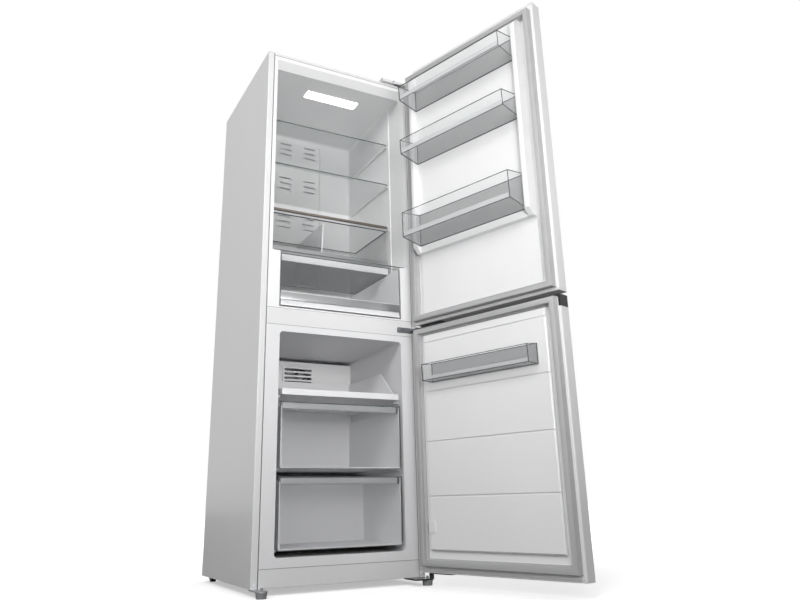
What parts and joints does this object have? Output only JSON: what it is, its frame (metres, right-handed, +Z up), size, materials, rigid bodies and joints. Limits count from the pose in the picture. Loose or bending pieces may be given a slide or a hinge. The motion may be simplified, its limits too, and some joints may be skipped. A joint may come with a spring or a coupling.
{
  "type": "bottom freezer refrigerator",
  "caption": "Free-standing fridge over a bottom freezer, both doors open: glass shelves, clear crisper and box, tray and clear-fronted drawers, door racks, rear machine space.",
  "frame": {"origin": "point on the floor below the middle of the cabinet's footprint", "axes": "+Z up, doors face -Y, hinges on the +X side"},
  "size_m": [0.7686, 1.2181, 1.885],
  "materials": {
    "outer_paint": "smooth satin",
    "cap_plastic": "satin",
    "liner_white": "soft gloss",
    "foam": "open cell skin",
    "galvanised": "galvanised",
    "black_enamel": "semi-gloss",
    "grey_plastic": "satin",
    "hinge_steel": "zinc plated",
    "coil": "mill finish",
    "seal": "matt",
    "shelf_glass": "polished",
    "clear_plastic": "polished",
    "dark_plastic": "satin",
    "lens": "frosted"
  },
  "bodies": {
    "cabinet": {"side_panel_left": "outer_paint", "side_panel_right": "outer_paint", "top_cover": "outer_paint", "rear_panel": "galvanised", "cabinet_foam": "foam", "fridge_liner": "liner_white", "freezer_liner": "liner_white", "mullion_cover": "outer_paint", "kickplate": "outer_paint", "base_plate": "galvanised", "compressor_tray": "galvanised", "compressor": "black_enamel", "drip_tray": "grey_plastic", "machine_cover": "galvanised", "power_inlet": "black_enamel", "evaporator": "coil", "evaporator_cover": "liner_white", "fan_motor": "grey_plastic", "air_duct": "liner_white", "light_lens": "lens", "shelf_upper": "shelf_glass", "shelf_middle": "shelf_glass", "crisper_cover": "shelf_glass", "crisper_cover_trim": "grey_plastic", "chill_lid": "shelf_glass", "top_hinge": "hinge_steel", "top_hinge_cover": "cap_plastic", "middle_hinge": "hinge_steel", "bottom_hinge": "black_enamel"},
    "upper_door": {"upper_door_skin": "outer_paint", "upper_door_top_cap": "cap_plastic", "upper_door_bottom_cap": "cap_plastic", "upper_door_foam": "foam", "upper_door_liner": "liner_white", "upper_door_gasket": "seal", "balcony_top": "clear_plastic", "balcony_middle": "clear_plastic", "balcony_bottom": "clear_plastic"},
    "lower_door": {"lower_door_skin": "outer_paint", "lower_door_grip_strip": "dark_plastic", "lower_door_bottom_cap": "cap_plastic", "lower_door_foam": "foam", "lower_door_liner": "liner_white", "lower_door_gasket": "seal", "door_basket": "clear_plastic"},
    "crisper": {"crisper_bin": "clear_plastic", "crisper_band": "grey_plastic", "crisper_divider": "liner_white"},
    "lower_box": {"chill_box": "liner_white", "chill_front": "clear_plastic"},
    "tray": {"freezer_tray": "liner_white"},
    "upper_drawer": {"upper_drawer_body": "liner_white", "upper_drawer_front": "clear_plastic"},
    "lower_drawer": {"lower_drawer_body": "liner_white", "lower_drawer_front": "clear_plastic"},
    "fan_rotor": {"evaporator_fan": "grey_plastic"},
    "right_roller": {"roller_right": "black_enamel"},
    "left_roller": {"roller_left": "black_enamel"},
    "right_foot": {"foot_right": "grey_plastic"},
    "left_foot": {"foot_left": "grey_plastic"}
  },
  "joints": [
    {"name": "upper_door_hinge", "type": "hinge", "parent": "cabinet", "child": "upper_door", "pos_m": [0.2895, -0.343, 1.37], "axis": [0, 0, 1], "range_deg": [-106.5, 13.5]},
    {"name": "lower_door_hinge", "type": "hinge", "parent": "cabinet", "child": "lower_door", "pos_m": [0.2895, -0.343, 0.44], "axis": [0, 0, 1], "range_deg": [-106.5, 13.5]},
    {"name": "crisper_slide", "type": "slide", "parent": "cabinet", "child": "crisper", "axis": [0, -1, 0], "range_m": [0, 0.21]},
    {"name": "lower_box_slide", "type": "slide", "parent": "cabinet", "child": "lower_box", "axis": [0, -1, 0], "range_m": [0, 0.3]},
    {"name": "freezer_tray_slide", "type": "slide", "parent": "cabinet", "child": "tray", "axis": [0, -1, 0], "range_m": [0, 0.18]},
    {"name": "upper_drawer_slide", "type": "slide", "parent": "cabinet", "child": "upper_drawer", "axis": [0, -1, 0], "range_m": [0, 0.3]},
    {"name": "lower_drawer_slide", "type": "slide", "parent": "cabinet", "child": "lower_drawer", "axis": [0, -1, 0], "range_m": [0, 0.2]},
    {"name": "fan_spin", "type": "hinge", "parent": "cabinet", "child": "fan_rotor", "pos_m": [0, 0.158, 0.712], "axis": [0, 1, 0], "continuous": true},
    {"name": "right_roller_spin", "type": "hinge", "parent": "cabinet", "child": "right_roller", "pos_m": [0.265, 0.256, 0.018], "axis": [1, 0, 0], "continuous": true},
    {"name": "left_roller_spin", "type": "hinge", "parent": "cabinet", "child": "left_roller", "pos_m": [-0.265, 0.256, 0.018], "axis": [1, 0, 0], "continuous": true},
    {"name": "right_foot_turn", "type": "hinge", "parent": "cabinet", "child": "right_foot", "pos_m": [0.278, -0.335, 0], "axis": [0, 0, 1], "range_deg": [-180, 180]},
    {"name": "left_foot_turn", "type": "hinge", "parent": "cabinet", "child": "left_foot", "pos_m": [-0.278, -0.335, 0], "axis": [0, 0, 1], "range_deg": [-180, 180]}
  ]
}
